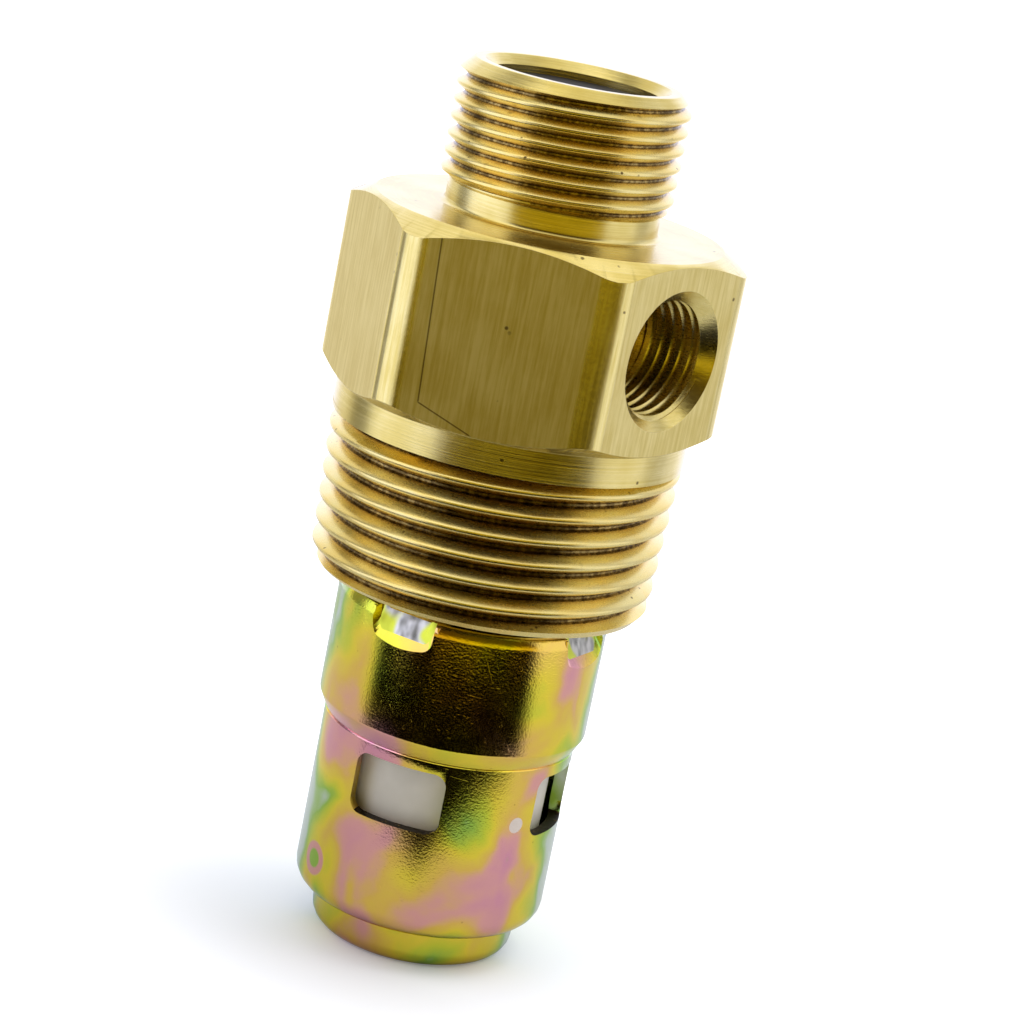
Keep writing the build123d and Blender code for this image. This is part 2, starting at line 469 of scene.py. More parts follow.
def turned_brass(colours):
    """Brass from the lathe: fine rings round the axis, with a few darker patches."""
    material = bpy.data.materials.new("turned_brass")
    finish = Finish(material)
    position = finish.position()
    across, along, up = finish.split(position)
    angle = finish.math("ARCTAN2", along, across)
    radius = finish.math("SQRT", across * across + along * along)
    rings = finish.noise(finish.join(angle * 0.6, radius * 2500, up * 6500), 1.0, detail=3.0, roughness=0.7)
    patches = finish.noise(position, 260.0, detail=3.0)
    pits = finish.ease(finish.spots(position, 900.0), 0.10, 0.16, 1.0, 0.0)
    pits = pits * finish.ease(finish.noise(position, 350.0), 0.58, 0.66)
    tone = finish.mix(finish.ease(patches * 0.6 + rings * 0.4, 0.34, 0.66), colours.brass_deep, colours.brass)
    tone = finish.mix(pits * 0.75, tone, colours.tarnish)
    roughness = 0.14 + rings * 0.14 + patches * 0.08
    normal = finish.bump(rings * 0.8 + patches * 0.15 - pits * 0.4, 0.7, 0.02 * MM)
    finish.surface(tone, roughness, 1.0, normal)
    return material


def drawn_brass(colours):
    """The hexagon's flats: drawn bar, with fine lines along the axis, stains and specks."""
    material = bpy.data.materials.new("drawn_brass")
    finish = Finish(material)
    position = finish.position()
    lines = finish.noise(finish.stretched(position, (4200, 4200, 190)), 1.0, detail=4.0, roughness=0.65)
    bands = finish.noise(finish.stretched(position, (900, 900, 14)), 1.0, detail=2.0)
    stains = finish.noise(position, 230.0, detail=4.0, roughness=0.6)
    specks = finish.ease(finish.spots(position, 700.0), 0.07, 0.13, 1.0, 0.0)
    specks = specks * finish.ease(finish.noise(position, 500.0), 0.6, 0.68)
    tone = finish.mix(finish.ease(lines * 0.6 + stains * 0.3 + bands * 0.1, 0.34, 0.66),
                      colours.brass_deep, colours.brass)
    tone = finish.mix(specks * 0.8, tone, colours.tarnish)
    tone = finish.mix(finish.scratch_on_flat(position) * 0.75, tone, colours.tarnish)
    across, along, up = finish.split(position)
    radius = finish.math("SQRT", across * across + along * along)
    rubbed = finish.ease(radius, 14.80 * MM, 14.95 * MM)
    roughness = 0.32 + lines * 0.10 + stains * 0.08 - rubbed * 0.16
    mottle = finish.noise(position, 2600.0, detail=3.0)
    normal = finish.bump(lines * 0.25 + bands * 0.15 + mottle * 0.5 - specks * 0.3, 0.45, 0.02 * MM)
    finish.surface(tone, roughness, 1.0, normal)
    return material


# Dark nicks seen on the threads: degrees right of the front, height and radius in millimetres
NICKS = (
    (-31, 65.9, 8.4), (-34, 62.2, 8.4), (35, 67.4, 8.4), (37, 63.8, 8.4), (-38, 61.5, 8.4), (33, 34.8, 12.9),
)


def threaded_brass(name, colour, colours, root=None, taper=0.0):
    """Cut threads: torn lines along the flanks, pits, and painted shade where the radius nears the root: the brass
    darkens down the flanks, with a dark line at the root flecked with debris.
    """
    material = bpy.data.materials.new(name)
    finish = Finish(material)
    position = finish.position()
    across, along, up = finish.split(position)
    angle = finish.math("ARCTAN2", along, across)
    tears = finish.noise(finish.join(angle * 9, 0.0, up * 5200), 1.0, detail=4.0, roughness=0.7)
    patches = finish.noise(position, 300.0, detail=3.0)
    pits = finish.ease(finish.spots(position, 1100.0), 0.08, 0.16, 1.0, 0.0)
    pits = pits * finish.ease(finish.noise(position, 420.0), 0.56, 0.64)
    tone = finish.mix(finish.ease(patches * 0.75 + tears * 0.25, 0.36, 0.64), colour, colours.brass)
    for bearing, height, reach_out in NICKS:
        pits = finish.math("MAXIMUM", pits, finish.near(position, bearing, height, 0.42, reach_out * MM))
    tone = finish.mix(pits * 0.85, tone, colours.tarnish)
    if root is not None:
        radius = finish.math("SQRT", across * across + along * along)
        over_root = radius - up * taper - root
        crumbs = finish.noise(position, 2300.0, detail=3.0, roughness=0.7)
        # Painted shade: darker golden brown down the flanks towards the root, standing in for the shade in the thread
        # valleys.
        tone = finish.mix(finish.ease(over_root, 0.0, 0.5 * MM, 0.4, 0.0), tone, colours.brass_bore)
        # Painted shade and debris: a dark line right at the root, broken into flecks by the crumbs noise.
        root_shade_and_debris = finish.ease(over_root, 0.02 * MM, 0.12 * MM, 1.0, 0.0) * finish.ease(crumbs, 0.35, 0.6, 0.45, 0.9)
        burrs = finish.ease(crumbs, 0.66, 0.70) * finish.ease(over_root, 0.2 * MM, 0.45 * MM, 1.0, 0.0)
        tone = finish.mix(root_shade_and_debris, tone, colours.tarnish)
        tone = finish.mix(burrs * 0.8, tone, colours.tarnish)
    roughness = 0.17 + tears * 0.14 + patches * 0.06
    normal = finish.bump(tears * 0.8 - pits * 0.6, 0.2, 0.02 * MM)
    finish.surface(tone, roughness, 1.0, normal)
    return material


# Where the film on the plating is thicker or thinner: degrees right of the front, height and
# reach in millimetres, and how far the colour shifts towards pink (+) or green (-)
FILM_PATCHES = (
    (-64, 15.5, 4.5, 0.18), (-56, 11.5, 3.4, -0.16), (-42, 9.8, 3.4, 0.20), (36, 9.5, 6.5, 0.22),
    (22, 12.5, 4.0, -0.18), (64, 24.0, 5.0, 0.20), (42, 23.5, 5.0, -0.14), (-62, 23.0, 4.0, -0.16),
    (10, 1.4, 6.0, -0.30), (-50, 1.8, 3.5, -0.24), (-26, 2.4, 2.6, 0.24), (4, 4.2, 4.0, 0.16), (58, 6.5, 4.0, -0.10),
    (-22, 17.0, 4.0, 0.16), (46, 16.5, 3.0, 0.16), (-75, 6.0, 4.0, -0.14),
)


def plated_steel(colours):
    """Zinc plate passivated yellow: bands of interference colour, scratched and speckled."""
    material = bpy.data.materials.new("plated_steel")
    finish = Finish(material)
    position = finish.position()
    broad = finish.noise(finish.stretched(position, (1.0, 1.0, 0.8)), 130.0, detail=2.0, distortion=0.8)
    fine = finish.noise(position, 520.0, detail=3.0, distortion=0.4)
    across, along, up = finish.split(position)
    bearing = finish.math("ARCTAN2", along, across) * (180 / pi) - FRONT * 180 / pi
    thin_sides = finish.ease(finish.math("ABSOLUTE", bearing), 58.0, 82.0) * 0.30
    film = (broad - 0.5) * 0.85 + (fine - 0.5) * 0.12 + 0.40 - thin_sides
    for bearing, height, reach, shift in FILM_PATCHES:
        film = film + finish.near(position, bearing, height, reach) * shift
    tone = finish.ramp(film, [
        (0.00, colours.film_blue), (0.08, colours.film_blue), (0.18, colours.film_green),
        (0.27, colours.film_lime), (0.36, colours.film_yellow), (0.46, colours.film_gold),
        (0.55, colours.film_pink), (0.66, colours.film_violet), (0.76, colours.film_green),
        (0.86, colours.film_yellow), (0.94, colours.film_pink), (1.00, colours.film_green),
    ])
    ring = finish.near(position, -57, 6.3, 1.7)
    tone = finish.mix(finish.ease(ring, 0.05, 0.2), tone, colours.film_pink)
    tone = finish.mix(finish.ease(ring, 0.5, 0.7), tone, colours.film_green)
    dot = finish.ease(finish.near(position, 41, 12.9, 0.9), 0.15, 0.3)
    tone = finish.mix(dot, tone, colours.bare_spot)
    grain = finish.noise(position, 6000.0, detail=3.0)
    swell = finish.noise(position, 1300.0, detail=2.0)
    scratches = finish.scratches(position, (0.5, 0.3, 0.8)) + finish.scratches(position, (1.1, -0.4, 0.3))
    specks = finish.ease(finish.spots(position, 1500.0), 0.08, 0.15, 1.0, 0.0)
    specks = specks * finish.ease(finish.noise(position, 600.0), 0.62, 0.7)
    tone = finish.mix(specks * 0.8, tone, colours.tarnish)
    roughness = 0.08 + fine * 0.08 + dot * 0.3 + scratches * 0.15
    normal = finish.bump(grain + swell * 0.1 - scratches * 0.1, 0.8, 0.014 * MM)
    finish.surface(tone, roughness, 1.0, normal)
    return material


def struck_steel(colours):
    """Bare, burnished steel where a punch has struck through the plating."""
    material = bpy.data.materials.new("struck_steel")
    finish = Finish(material)
    position = finish.position()
    streaks = finish.noise(finish.stretched(position, (1500, 1500, 700)), 1.0, detail=1.0)
    folds = finish.noise(position, 620.0, detail=0.0)
    tone = finish.mix(finish.ease(streaks, 0.3, 0.7), colours.steel_dark, colours.steel)
    across, along, up = finish.split(position)
    angle = finish.math("ARCTAN2", along, across)
    mid_stake = finish.math("COSINE", (angle - radians(10)) * 4)
    bare = finish.ease(mid_stake + (folds - 0.5) * 0.6, 0.72, 0.84)
    tone = finish.mix(bare, colours.film_lime, tone)
    normal = finish.bump(folds, 1.0, 0.22 * MM)
    finish.surface(tone, 0.24 + streaks * 0.1, 1.0, normal)
    return material


def worn_edge(colours):
    """The thin bright lip where the plating is rubbed off an edge."""
    material = bpy.data.materials.new("worn_edge")
    finish = Finish(material)
    position = finish.position()
    rub = finish.noise(position, 1800.0, detail=3.0)
    tone = finish.mix(finish.ease(rub, 0.4, 0.6), colours.film_gold, colours.worn_edge)
    finish.surface(tone, 0.3 + rub * 0.15, 1.0, finish.bump(rub, 0.5, 0.03 * MM))
    return material


def cut_steel(colours):
    """The torn edge that a blanking punch leaves through the sheet, coloured near-black brown as painted shade inside
    the window.
    """
    material = bpy.data.materials.new("cut_steel")
    finish = Finish(material)
    position = finish.position()
    tears = finish.noise(finish.stretched(position, (2500, 2500, 1500)), 1.0, detail=4.0, roughness=0.7)
    # Painted shade: the near-black brown stands in for the shade on the cut face inside the window, streaked with the
    # gold of the torn edge.
    tone = finish.mix(finish.ease(tears, 0.55, 0.95), rgb(44, 32, 14), colours.film_gold)
    finish.surface(tone, 0.35 + tears * 0.2, 1.0, finish.bump(tears, 0.8, 0.04 * MM))
    return material


def moulded_plastic(name, colour, shade, roughness, grain_depth, gloss=0.5):
    material = bpy.data.materials.new(name)
    finish = Finish(material)
    position = finish.position()
    cloud = finish.noise(position, 220.0, detail=3.0)
    grain = finish.noise(position, 3000.0, detail=2.0)
    tone = finish.mix(finish.ease(cloud, 0.3, 0.7), shade, colour)
    normal = finish.bump(grain, 0.4, grain_depth)
    finish.surface(tone, roughness + cloud * 0.1, 0.0, normal, Specular_IOR_Level=gloss)
    return material


def spring_wire(colours):
    material = bpy.data.materials.new("spring_wire")
    finish = Finish(material)
    position = finish.position()
    die_lines = finish.noise(position, 2400.0, detail=3.0)
    tone = finish.mix(finish.ease(die_lines, 0.35, 0.65), colours.steel_dark, colours.steel)
    finish.surface(tone, 0.2 + die_lines * 0.15, 1.0, finish.bump(die_lines, 0.3, 0.01 * MM))
    return material


# Settings


class ValveSizes(bpy.types.PropertyGroup):
    """Sizes of the cut and formed details."""

    tank_pitch: FloatProperty(name="Tank thread pitch", description="From crest to crest of the lower thread",
                              default=1.814 * MM, unit="LENGTH", precision=5)
    tank_depth: FloatProperty(name="Tank thread depth", description="From crest to root of the lower thread",
                              default=1.1 * MM, unit="LENGTH", precision=5)
    inlet_pitch: FloatProperty(name="Inlet thread pitch", description="From crest to crest of the upper thread",
                               default=1.27 * MM, unit="LENGTH", precision=5)
    inlet_depth: FloatProperty(name="Inlet thread depth", description="From crest to root of the upper thread",
                               default=0.70 * MM, unit="LENGTH", precision=5)
    port_pitch: FloatProperty(name="Port thread pitch", description="From crest to crest in the side port",
                              default=0.941 * MM, unit="LENGTH", precision=5)
    edge_break: FloatProperty(name="Edge break", description="Width of the broken edges of the brass",
                              default=0.09 * MM, unit="LENGTH", precision=5)
    hex_corner_round: FloatProperty(name="Hexagon corner", description="Rounding of the hexagon's corners",
                                    default=2.4 * MM, unit="LENGTH", precision=5)
    window_width: FloatProperty(name="Window width", description="Width of a window in the cage",
                                default=7.3 * MM, unit="LENGTH", precision=5)
    window_height: FloatProperty(name="Window height", description="Height of a window in the cage",
                                 default=4.85 * MM, unit="LENGTH", precision=5)
    lip_width: FloatProperty(name="Lip", description="Width of the bright lip round windows and stakes",
                             default=0.16 * MM, unit="LENGTH", precision=5)
    window_count: IntProperty(name="Windows", description="Windows round the cage", default=4, min=1)
    stake_count: IntProperty(name="Stakes", description="Stakes round the cage's rim", default=4, min=1)


def colour_setting(name, description, colour):
    return FloatVectorProperty(name=name, description=description, default=colour, size=4, min=0, max=1,
                               subtype="COLOR")


class ValveColours(bpy.types.PropertyGroup):
    """Colours of the metals, the plating and the plastics."""

    brass: colour_setting("Brass", "Clean brass", rgb(232, 214, 142))
    brass_gold: colour_setting("Gold brass", "Brass in the threads", rgb(232, 206, 122))
    brass_deep: colour_setting("Deep brass", "Brass in its streaks", rgb(208, 186, 102))
    # Painted shade: this colour darkens the thread flanks towards their roots.
    brass_bore: colour_setting("Valley shade brass", "Painted shade down the thread flanks towards the roots", rgb(186, 136, 56))
    # Besides specks and pits, this colour carries the painted shade along the thread roots.
    tarnish: colour_setting("Tarnish", "Specks and pits", rgb(70, 48, 20))
    film_blue: colour_setting("Blue film", "Plating where its film is thinnest", rgb(200, 214, 196))
    film_green: colour_setting("Green film", "Green bands of the plating", rgb(158, 196, 78))
    film_lime: colour_setting("Lime film", "Lime bands of the plating", rgb(206, 212, 66))
    film_yellow: colour_setting("Yellow film", "Yellow bands of the plating", rgb(238, 214, 70))
    film_gold: colour_setting("Gold film", "Gold bands of the plating", rgb(232, 192, 92))
    film_pink: colour_setting("Pink film", "Pink bands of the plating", rgb(230, 168, 156))
    film_violet: colour_setting("Violet film", "Violet bands of the plating", rgb(220, 152, 168))
    bare_spot: colour_setting("Bare spot", "A spot that the passivation missed", rgb(236, 222, 208))
    worn_edge: colour_setting("Worn edge", "Rubbed edges of the windows and stakes", rgb(250, 243, 204))
    steel: colour_setting("Steel", "Bare steel", rgb(208, 204, 190))
    steel_dark: colour_setting("Dark steel", "Streaks in bare steel", rgb(128, 126, 114))
    poppet: colour_setting("Poppet", "White plastic", rgb(222, 215, 196))
    plug: colour_setting("Plug", "Black plastic", rgb(26, 26, 28))


# Pieces


class VALVE_OT_body(bpy.types.Operator):
    """Turn and mill the brass body, cut its threads and bore its passages"""

    bl_idname = "valve.body"
    bl_label = "Brass body"

    def execute(self, context):
        sizes = context.scene.valve_sizes
        body = self.blank()
        combine(body, self.bar(sizes), "INTERSECT")
        apply_modifier(body, "BEVEL", width=sizes.edge_break, segments=2, limit_method="ANGLE",
                       angle_limit=radians(25))
        combine(body, self.tank_thread(sizes), "UNION")
        combine(body, self.inlet_thread(sizes), "UNION")
        combine(body, self.passage(), "DIFFERENCE")
        combine(body, self.port(), "DIFFERENCE")
        combine(body, self.port_thread(sizes), "DIFFERENCE")
        body.name = "valve_body_brass"
        colours = context.scene.valve_colours
        tank_root = TANK_FOOT_RADIUS - THREAD_FOOT * TANK_TAPER - sizes.tank_depth
        inlet_root = MOUNTS["inlet_thread"]["dims"]["r_mm"] * MM - sizes.inlet_depth
        finished(body, "housing", "valve_body", slot="brass", materials=[
            turned_brass(colours),
            drawn_brass(colours),
            threaded_brass("tank_thread_brass", colours.brass_gold, colours, tank_root, TANK_TAPER),
            threaded_brass("inlet_thread_brass", colours.brass_gold, colours, inlet_root),
            threaded_brass("tapped_brass", colours.brass_deep, colours),
        ])
        self.share_materials(body)
        return {"FINISHED"}

    def blank(self):
        """The turned blank, with cores a little under the two threads' roots."""
        slope = tan(radians(30))
        reach = 16.5 * MM
        tank_core = 11.85 * MM
        inlet_core = 7.7 * MM
        corners = [
            (0, SEAT_HEIGHT, 0),
            (SEAT_LIP_RADIUS - 0.2 * MM, SEAT_HEIGHT, 0),
            (SEAT_LIP_RADIUS, SPIGOT_FOOT, 0),
            (SPIGOT_RADIUS - 0.4 * MM, SPIGOT_FOOT, 0),
            (SPIGOT_RADIUS, SPIGOT_FOOT + 0.4 * MM, 0),
            (SPIGOT_RADIUS, RELIEF_FOOT, 0),
            (RELIEF_RADIUS, RELIEF_FOOT, 0),
            (RELIEF_RADIUS, THREAD_FOOT + 0.2 * MM, 0),
            (tank_core, THREAD_FOOT + 0.2 * MM, 0),
            (tank_core, COLLAR_FOOT, 0),
            (COLLAR_RADIUS, COLLAR_FOOT, 0),
            (COLLAR_RADIUS, HEX_FOOT, 0),
            (reach, HEX_FOOT + (reach - COLLAR_RADIUS) * slope, 0),
            (reach, HEX_TOP - (reach - HEX_CHAMFER_START) * slope, 0),
            (HEX_CHAMFER_START, HEX_TOP, 0),
            (NECK_RADIUS, HEX_TOP, 0.4 * MM),
            (NECK_RADIUS, NECK_TOP - 0.3 * MM, 0),
            (inlet_core, NECK_TOP, 0),
            (inlet_core, BODY_TOP - 0.3 * MM, 0),
            (0, BODY_TOP - 0.3 * MM, 0),
        ]
        return turned("blank", rounded(corners))

    def bar(self, sizes):
        """The hexagonal bar that the blank is turned from, with rounded corners."""
        clear_selection()
        bpy.ops.mesh.primitive_cylinder_add(vertices=6, radius=HEX_APOTHEM / cos(radians(30)),
                                            depth=2 * BODY_TOP, location=(0, 0, BODY_TOP / 2))
        bar = bpy.context.active_object
        place(bar)
        select_edges(bar, lambda one, other: abs(one.z - other.z) > BODY_TOP)
        bpy.ops.mesh.bevel(offset=sizes.hex_corner_round * tan(radians(30)), segments=10, affect="EDGES")
        bpy.ops.object.mode_set(mode="OBJECT")
        return bar

    def tank_thread(self, sizes):
        """The coarse outside thread, tapered 1 in 16 on its diameter."""
        taper = TANK_TAPER
        foot_radius = TANK_FOOT_RADIUS
        apex_radius = foot_radius - THREAD_FOOT * taper
        tooth = tooth_profile(sizes.tank_pitch, apex_radius, apex_radius - sizes.tank_depth, 0.08, 0.13)
        rod = threaded_rod("tank_thread", tooth, sizes.tank_pitch, THREAD_FOOT, COLLAR_FOOT, phase=0.32 * MM)
        heights = [vertex.co.z for vertex in rod.data.vertices]
        apply_modifier(rod, "SIMPLE_DEFORM", deform_method="TAPER", deform_axis="Z",
                       factor=taper / apex_radius * (max(heights) - min(heights)))
        top_radius = 14 * MM
        envelope = turned("tank_envelope", [
            (0, THREAD_FOOT),
            (foot_radius - 0.65 * MM, THREAD_FOOT),
            (top_radius, THREAD_FOOT + (top_radius - foot_radius + 0.65 * MM) * 0.8 / 0.65),
            (top_radius, COLLAR_FOOT + 0.4 * MM),
            (0, COLLAR_FOOT + 0.4 * MM),
        ])
        combine(rod, envelope, "INTERSECT")
        return rod

    def inlet_thread(self, sizes):
        """The fine outside thread, with a chamfered lead at the top."""
        crest = MOUNTS["inlet_thread"]["dims"]["r_mm"] * MM
        tooth = tooth_profile(sizes.inlet_pitch, crest, crest - sizes.inlet_depth, 0.10, 0.13)
        rod = threaded_rod("inlet_thread", tooth, sizes.inlet_pitch, NECK_TOP, BODY_TOP, phase=0.86 * MM)
        lead = 1.0 * MM
        envelope = turned("inlet_envelope", rounded([
            (0, NECK_TOP - 0.2 * MM, 0),
            (NECK_RADIUS - 0.1 * MM, NECK_TOP - 0.2 * MM, 0),
            (crest + 0.5 * MM, NECK_TOP + 0.4 * MM, 0),
            (crest + 0.5 * MM, BODY_TOP - lead - 0.5 * MM, 0),
            (crest - lead, BODY_TOP, 0.15 * MM),
            (0, BODY_TOP, 0),
        ]))
        combine(rod, envelope, "INTERSECT")
        return rod

    def passage(self):
        """What is bored from the inlet: the air passage, the tube socket and its cone."""
        beyond = 2 * MM
        return turned("passage", rounded([
            (0, SEAT_HEIGHT - beyond, 0),
            (PASSAGE_RADIUS, SEAT_HEIGHT - beyond, 0),
            (PASSAGE_RADIUS, SOCKET_STOP, 0),
            (SOCKET_RADIUS, SOCKET_STOP, 0),
            (SOCKET_RADIUS, BODY_TOP - CONE_DEPTH, 0),
            (SOCKET_RADIUS + CONE_DEPTH, BODY_TOP, 0.12 * MM),
            (SOCKET_RADIUS + CONE_DEPTH + 0.3 * MM, BODY_TOP, 0),
            (SOCKET_RADIUS + CONE_DEPTH + 0.3 * MM, BODY_TOP + beyond, 0),
            (0, BODY_TOP + beyond, 0),
        ]))

    def port(self):
        """The side port before it is tapped, turned round Z and laid along X."""
        mouth = PORT_RADIUS + PORT_CHAMFER
        cutter = turned("port", rounded([
            (0, PASSAGE_RADIUS - 2 * MM, 0),
            (PORT_DRILL_RADIUS, PASSAGE_RADIUS - 2 * MM, 0),
            (PORT_DRILL_RADIUS, PORT_FLOOR, 0),
            (PORT_RADIUS, PORT_FLOOR, 0),
            (PORT_RADIUS, HEX_APOTHEM - PORT_CHAMFER, 0.1 * MM),
            (mouth, HEX_APOTHEM, 0.06 * MM),
            (mouth + 0.2 * MM, HEX_APOTHEM, 0),
            (mouth + 0.2 * MM, HEX_APOTHEM + 1 * MM, 0),
            (0, HEX_APOTHEM + 1 * MM, 0),
        ]), segments=128)
        return self.laid_along_x(cutter)

    def port_thread(self, sizes):
        depth = 0.42 * MM
        tooth = tooth_profile(sizes.port_pitch, PORT_RADIUS + depth, PORT_RADIUS - 0.05 * MM, 0.36, 0.05)
        rod = threaded_rod("port_thread", tooth, sizes.port_pitch, PORT_FLOOR, HEX_APOTHEM, phase=0,
                           segments=128)
        envelope = turned("port_envelope", [
            (0, PORT_FLOOR + 0.3 * MM),
            (PORT_RADIUS + 1 * MM, PORT_FLOOR + 0.3 * MM),
            (PORT_RADIUS + 1 * MM, HEX_APOTHEM - 0.7 * PORT_CHAMFER),
            (0, HEX_APOTHEM - 0.7 * PORT_CHAMFER),
        ], segments=128)
        combine(rod, envelope, "INTERSECT")
        return self.laid_along_x(rod)

    def laid_along_x(self, cutter):
        cutter.rotation_euler = (0, pi / 2, 0)
        cutter.location = (0, 0, PORT_HEIGHT)
        place(cutter)
        return cutter

    def share_materials(self, body):
        """Flats as drawn bar, helical faces and the port as threads, the rest as turned."""
        flat, tank_thread, inlet_thread, tapped = 1, 2, 3, 4
        for face in body.data.polygons:
            centre, normal = face.center, face.normal
            radius = sqrt(centre.x ** 2 + centre.y ** 2)
            off_port = sqrt(centre.y ** 2 + (centre.z - PORT_HEIGHT) ** 2)
            in_mouth = centre.x > PASSAGE_RADIUS and off_port < PORT_RADIUS + PORT_CHAMFER and abs(normal.x) < 0.95
            on_hexagon = HEX_FOOT < centre.z < HEX_TOP and abs(normal.z) < 0.3 and radius > 12 * MM
            on_tank_thread = THREAD_FOOT < centre.z < COLLAR_FOOT and radius > 11 * MM
            on_inlet_thread = centre.z > NECK_TOP and radius > 7.9 * MM and BODY_TOP - centre.z > 0.8 * MM
            if in_mouth and centre.x < HEX_APOTHEM - 0.85 * PORT_CHAMFER:
                face.material_index = tapped
            elif in_mouth:
                face.material_index = 0
            elif on_tank_thread:
                face.material_index = tank_thread
            elif on_inlet_thread:
                face.material_index = inlet_thread
            elif on_hexagon:
                face.material_index = flat


class VALVE_OT_cage(bpy.types.Operator):
    """Draw the steel cage, punch its windows and stake its rim"""

    bl_idname = "valve.cage"
    bl_label = "Steel cage"

    def execute(self, context):
        sizes = context.scene.valve_sizes
        cage = turned("cage_steel", self.section())
        for number in range(sizes.stake_count):
            angle = radians(10 + 360 / sizes.stake_count * number)
            combine(cage, self.stake_pad(angle), "UNION")
        for number in range(sizes.stake_count):
            angle = radians(10 + 360 / sizes.stake_count * number)
            combine(cage, self.punch(angle), "DIFFERENCE")
        for number in range(sizes.window_count):
            angle = radians(20 + 360 / sizes.window_count * number)
            combine(cage, self.window(sizes, angle), "DIFFERENCE")
        apply_modifier(cage, "BEVEL", width=sizes.lip_width, segments=2, limit_method="ANGLE",
                       angle_limit=radians(45))
        colours = context.scene.valve_colours
        finished(cage, "housing", "cage", slot="zinc_steel",
                 materials=[plated_steel(colours), struck_steel(colours), cut_steel(colours), worn_edge(colours)])
        self.share_materials(cage, sizes)
        return {"FINISHED"}

    def section(self):
        """The sheet's section: up the outside, round the rim and down the inside."""
        outside = [
            (0, 0, 0),
            (FOOT_RADIUS, 0, 1.3 * MM),
            (FOOT_RADIUS, FOOT_HEIGHT, 0.2 * MM),
            (GUIDE_RADIUS, FOOT_HEIGHT, 1.6 * MM),
            (GUIDE_RADIUS, CREASE_HEIGHT - 0.16 * MM, 0),
            (GUIDE_RADIUS - 0.07 * MM, CREASE_HEIGHT - 0.08 * MM, 0),
            (GUIDE_RADIUS, CREASE_HEIGHT, 0),
            (SLEEVE_RADIUS, STEP_HEIGHT, 0.4 * MM),
            (SLEEVE_RADIUS, CAGE_HEIGHT - 0.8 * MM, 0),
            (SLEEVE_RADIUS - 0.3 * MM, CAGE_HEIGHT, 0),
        ]
        inside = [
            (SLEEVE_RADIUS - SHEET, CAGE_HEIGHT, 0),
            (SLEEVE_RADIUS - SHEET, STEP_HEIGHT + 0.1 * MM, 0.3 * MM),
            (GUIDE_RADIUS - SHEET, CREASE_HEIGHT + 0.1 * MM, 0.3 * MM),
            (GUIDE_RADIUS - SHEET, FOOT_HEIGHT + SHEET, 0.7 * MM),
            (FOOT_RADIUS - SHEET, FOOT_HEIGHT + SHEET, 0.3 * MM),
            (FOOT_RADIUS - SHEET, SHEET, 0.4 * MM),
            (0, SHEET, 0),
        ]
        return rounded(outside) + rounded(inside)

    def window(self, sizes, angle):
        clear_selection()
        bpy.ops.mesh.primitive_cube_add(size=1, location=(GUIDE_RADIUS, 0, WINDOW_CENTRE),
                                        scale=(4 * SHEET, sizes.window_width, sizes.window_height))
        cutter = bpy.context.active_object
        place(cutter)
        select_edges(cutter, lambda one, other: abs(one.x - other.x) > SHEET)
        bpy.ops.mesh.bevel(offset=1.0 * MM, segments=6, affect="EDGES")
        bpy.ops.object.mode_set(mode="OBJECT")
        cutter.rotation_euler.z = angle
        place(cutter)
        return cutter

    def stake_pad(self, angle):
        """Metal that the punch has pushed in behind the stake."""
        low, high = RELIEF_FOOT + 0.05 * MM, CAGE_HEIGHT - 0.1 * MM
        inner, outer = SLEEVE_RADIUS - 2.1 * MM, SLEEVE_RADIUS - 0.5 * MM
        clear_selection()
        bpy.ops.mesh.primitive_cube_add(size=1, location=((inner + outer) / 2, 0, (low + high) / 2),
                                        scale=(outer - inner, 5.8 * MM, high - low))
        pad = bpy.context.active_object
        place(pad)
        pad.rotation_euler.z = angle
        place(pad)
        return pad

    def punch(self, angle):
        """The punch: its face leans inwards towards the rim, and its sides and foot have draft."""
        inner, outer = SLEEVE_RADIUS - 0.55 * MM, SLEEVE_RADIUS + 0.8 * MM
        foot, high = STAKE_FOOT + 0.7 * MM, CAGE_HEIGHT + 0.6 * MM
        clear_selection()
        bpy.ops.mesh.primitive_cube_add(size=1, location=((inner + outer) / 2, 0, (foot + high) / 2),
                                        scale=(outer - inner, 4.7 * MM, high - foot))
        tool = bpy.context.active_object
        place(tool)
        select_vertices(tool, lambda point: point.x < SLEEVE_RADIUS and point.z > CAGE_HEIGHT)
        bpy.ops.transform.translate(value=(-0.75 * MM, 0, 0))
        select_vertices(tool, lambda point: point.x > SLEEVE_RADIUS)
        bpy.ops.transform.resize(value=(1, 1.4, 1))
        select_vertices(tool, lambda point: point.x > SLEEVE_RADIUS and point.z < CAGE_HEIGHT)
        bpy.ops.transform.translate(value=(0, 0, -1.9 * MM))
        select_edges(tool, lambda one, other: max(one.z, other.z) < CAGE_HEIGHT and abs(one.x - other.x) > MM)
        bpy.ops.mesh.bevel(offset=0.5 * MM, segments=4, affect="EDGES")
        bpy.ops.object.mode_set(mode="OBJECT")
        tool.rotation_euler.z = angle
        place(tool)
        return tool

